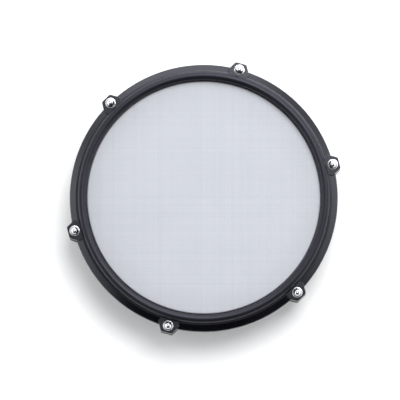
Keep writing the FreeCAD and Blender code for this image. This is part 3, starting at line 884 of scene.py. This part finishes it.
# %% Make the washers
WASHER_HOLE_R = 3.1
washer_r = (washer_high.x - washer_low.x) / 2 / MM
washer_foot, washer_top = washer_low.z / MM, washer_high.z / MM
washer = turned("washer", [
    (WASHER_HOLE_R, washer_foot, 0), (washer_r, washer_foot, 0.08), (washer_r, washer_top, 0.35),
    (WASHER_HOLE_R, washer_top, 0.2),
], steps=72)
shade(washer, 40)
washer.data.materials.append(washer_zinc)
for k, piece in enumerate(copies_round(moved(washer, x=ROD_CIRCLE), "punched_washer")):
    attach(piece, "hoop")
    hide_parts(f"steel_washer_{k + 1}")

# %% [markdown]
# ## Tension rods
#
# A drum rod has a square head for the drum key, on a round flange. The head starts as a spun
# dome with a small centre mark, and a square prism cuts its four flats. The thread is a real helix:
# a blunt triangle swept by a Screw modifier round a core at the thread's root.

# %% Make a thread
ROD_PITCH = 1.0
CREST_HALF = 0.08                    # half the width of a thread's blunt crest


def thread_ridge(name, root, crest, low, turns, pitch):
    """A helical ridge in mm, from its root radius to its crest, closed at both ends."""
    root_half = 0.42 * pitch
    ridge = draw_section(name, [
        (root, low - root_half, 0), (crest, low - CREST_HALF, 0),
        (crest, low + CREST_HALF, 0), (root, low + root_half, 0),
    ])
    apply_modifier(
        ridge, "SCREW", axis="Z", angle=2 * math.pi, screw_offset=pitch * MM, iterations=turns,
        steps=28, render_steps=28, use_merge_vertices=False, use_smooth_shade=True,
    )
    bpy.ops.object.mode_set(mode="EDIT")
    bpy.ops.mesh.select_all(action="SELECT")
    bpy.ops.mesh.fill_holes(sides=0)
    bpy.ops.object.mode_set(mode="OBJECT")
    return close_and_face_outwards(ridge)


# %% [markdown]
# The rod is four closed shapes joined in one mesh: the key head, its flange, the core and the
# thread. The flange stands a hair off the washer, because two faces in the same plane flicker.

# %% Make the rods
FLANGE_T = 1.2
FLANGE_LIFT = 0.02
KEY_R, KEY_FLAT = 3.4, 3.1           # the key head's round corners and its flats, from the axis
KEY_EDGE = 0.16                      # bevel on the flats' edges
PRISM_HEIGHT = 20                    # taller than the key head that it cuts
MARK_R, MARK_DEPTH = 0.65, 0.5       # the centre mark
TIP_R, CORE_R, THREAD_R = 1.7, 2.46, 2.95
flange_z = washer_top
flange_r = (rod_high.x - rod_low.x) / 2 / MM
head_z = flange_z + FLANGE_T
head_top = rod_high.z / MM
flange = turned("rod_flange", [
    (0, flange_z + FLANGE_LIFT, 0), (flange_r, flange_z + FLANGE_LIFT, 0.1),
    (flange_r, head_z - 0.2, 0.3), (KEY_R - 0.1, head_z + 0.1, 0.2), (0, head_z + 0.1, 0),
], steps=72)
key_head = turned("rod_key_head", [
    (0, head_z, 0), (KEY_R, head_z, 0), (KEY_R, head_top - 2.9, 0.5),
    (2.75, head_top - 1.55, 0.7), (1.6, head_top - 0.45, 0.6), (MARK_R, head_top, 0.2),
    (0, head_top - MARK_DEPTH, 0),
], steps=72)
nothing_selected()
bpy.ops.mesh.primitive_cube_add(size=1, location=(0, 0, head_top * MM))
square = bpy.context.object
square.scale = (2 * KEY_FLAT * MM, 2 * KEY_FLAT * MM, PRISM_HEIGHT * MM)
bpy.ops.object.transform_apply(location=True, scale=True)
combine(key_head, square, "INTERSECT")
close_and_face_outwards(key_head)
apply_modifier(key_head, "BEVEL", width=KEY_EDGE * MM, segments=2, limit_method="ANGLE",
               angle_limit=math.radians(35))
tip = rod_low.z / MM
core = turned("rod_core", [
    (0, tip, 0), (TIP_R, tip, 0), (CORE_R, tip + 0.9, 0), (CORE_R, flange_z, 0), (0, flange_z, 0),
], steps=32)
ridge = thread_ridge("rod_thread", CORE_R - 0.04, THREAD_R, tip + 1.6, turns=24, pitch=ROD_PITCH)
rod = join([key_head, flange, core, ridge], "rod")
shade(rod, 32)
rod.data.materials.append(rod_chrome)
for k, piece in enumerate(copies_round(moved(rod, x=ROD_CIRCLE), "drum_key_rod")):
    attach(piece, f"rod_{k + 1}")
    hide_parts(f"tension_rod_{k + 1}")

# %% [markdown]
# ## Damper foam
#
# A disc of open-cell foam lies just under the mesh and stops it ringing. It was cut with a hot
# wire, so its faces are slightly uneven: extra points in its section give the top a few rings,
# which are subdivided and then moved at random by about a tenth of a millimetre. It is firm and
# full.

# %% Make the foam
def make_foam_finish():
    """Two sizes of open cell, as a bump and as painted shade that darkens their deep centres."""
    material, tree = use_nodes("damper_foam")
    place = node(tree, "ShaderNodeTexCoord").outputs["Object"]
    cells = node(tree, "ShaderNodeTexVoronoi", {"Vector": place, "Scale": 900.0})
    large = node(tree, "ShaderNodeTexVoronoi", {"Vector": place, "Scale": 420.0})
    depth = calc(tree, "MINIMUM", cells.outputs["Distance"], large.outputs["Distance"])
    cell_relief_and_shade = span(tree, depth, 0.05, 0.45)
    # Painted shade: each cell is coloured darker towards its deep centre.
    colour = blend_colours(tree, cell_relief_and_shade, (0.02, 0.02, 0.022), (0.11, 0.11, 0.118))
    shader = node(tree, "ShaderNodeBsdfPrincipled", {
        "Base Color": colour, "Roughness": 0.92, "Specular IOR Level": 0.15,
        "Normal": bump(tree, cell_relief_and_shade, 0.0005),
    })
    finish_shader(tree, shader)
    return material


FOAM_RINGS = (25, 50, 75)            # how far in from the edge each ring lies
FOAM_UNEVEN = 0.12
foam_r, foam_foot, foam_top = foam_high.x / MM, foam_low.z / MM, foam_high.z / MM
foam = turned("damper_foam_disc", [
    (0, foam_foot, 0), (foam_r, foam_foot, 0.6), (foam_r, foam_top, 2.0),
    *((foam_r - inwards, foam_top, 0) for inwards in FOAM_RINGS), (0, foam_top, 0),
], steps=96)
bpy.ops.object.mode_set(mode="EDIT")
bpy.ops.mesh.select_all(action="SELECT")
bpy.ops.mesh.subdivide(number_cuts=1)
bpy.ops.transform.vertex_random(offset=FOAM_UNEVEN * MM, uniform=0.0, normal=1.0, seed=4)
bpy.ops.object.mode_set(mode="OBJECT")
shade(foam, 50)
foam.data.materials.append(make_foam_finish())
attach(foam, "base")
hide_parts("damper_foam")

# %% [markdown]
# ## Feet
#
# Each rubber foot is a shallow button let into the shell's floor. Two grooves in its sole help it
# to grip, and a screw sits in the well at its centre, clear of the table.

# %% Make the feet
WELL_R, WELL_TOP = 3.4, 2.4          # room for the screw's head
SCREW_HOLE_R = 1.55
GROOVES = (4.6, 6.3)                 # inner radius of each groove
GROOVE_DEPTH = 0.4


def groove(inner):
    """The four corners of a groove with sloping sides."""
    return ((inner, 0, 0.1), (inner + 0.2, GROOVE_DEPTH, 0),
            (inner + 0.5, GROOVE_DEPTH, 0), (inner + 0.7, 0, 0.1))


foot_r = (foot_high.x - foot_low.x) / 2 / MM
foot_top = foot_high.z / MM
foot = turned("foot", [
    (WELL_R, 0, 0.3), *(corner for inner in GROOVES for corner in groove(inner)),
    (foot_r, 0, 1.2), (foot_r, foot_top, 0.1), (SCREW_HOLE_R, foot_top, 0),
    (SCREW_HOLE_R, WELL_TOP, 0), (WELL_R, WELL_TOP, 0),
], steps=72)
shade(foot, 35)
foot.data.materials.append(foot_rubber)
foot_circle = (foot_low + foot_high).xy.length / 2
for k, piece in enumerate(copies_round(moved(foot, x=foot_circle), "grip_foot", start=LUG_STEP / 2)):
    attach(piece, "base")
    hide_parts(f"rubber_foot_{k + 1}")

# %% [markdown]
# ## Stand insert
#
# The brass insert takes a stand's M8 post. Its body is a round barrel with a hexagonal flange
# that can't turn in the shell, and its bore is cut at the thread's outer radius, with the thread
# itself as a helical ridge inside it.

# %% Make the stand insert
BORE_R, BORE_ROOT_R, STAND_PITCH = 3.4, 4.02, 1.25
BARREL_R = 6.15
HEX_INRADIUS, HEX_FOOT = 9.4, 12.0
insert_low, insert_top = stand_low.z / MM, stand_high.z / MM
barrel_top = insert_top - 3
bore_wall = BORE_ROOT_R - 0.02       # the helix starts just inside the wall
barrel = turned("barrel", [
    (bore_wall, insert_low + 0.6, 0), (BORE_ROOT_R + 0.5, insert_low, 0.1),
    (BARREL_R, insert_low, 0.3), (BARREL_R, barrel_top, 0), (bore_wall, barrel_top, 0),
], steps=72)
flange_hex = hexagon("insert_hex", HEX_INRADIUS, HEX_FOOT, insert_top, corner=0.4, edge=0.3)
combine(flange_hex, plug(bore_wall, 0, insert_top + 15, steps=72), "DIFFERENCE")
stand_thread = thread_ridge(
    "stand_thread", BORE_ROOT_R, BORE_R, insert_low + 1.4, turns=9, pitch=STAND_PITCH
)
insert = join([flange_hex, barrel, stand_thread], "stand_insert_threaded")
shade(insert, 35)
insert.data.materials.append(insert_brass)
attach(insert, "base")
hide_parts("stand_insert")

# %% [markdown]
# ## Nodes that stay as they are
#
# The shell, the inserts and the hidden fittings already have their true shape in the frame, so
# each only gets the finish of its real material.

# %% Finish the CAD nodes that stay
FINISHES = {
    "base_shell": shell_plastic, "damper_plate": inner_plastic, "flesh_hoop": channel_aluminium,
    "insert_keeper": screw_steel, "keeper_screws": screw_steel, "foot_screws": screw_steel,
    "plate_screws": screw_steel, "lug_insert": insert_brass,
}
for name, piece in frame["nodes"].items():
    family = name if name in FINISHES else name.rsplit("_", 1)[0]
    if family in FINISHES:
        piece.data.materials.clear()
        piece.data.materials.append(FINISHES[family])
shown = [name for name, piece in frame["nodes"].items() if not piece.hide_render]
print("CAD nodes shown:", len(shown))
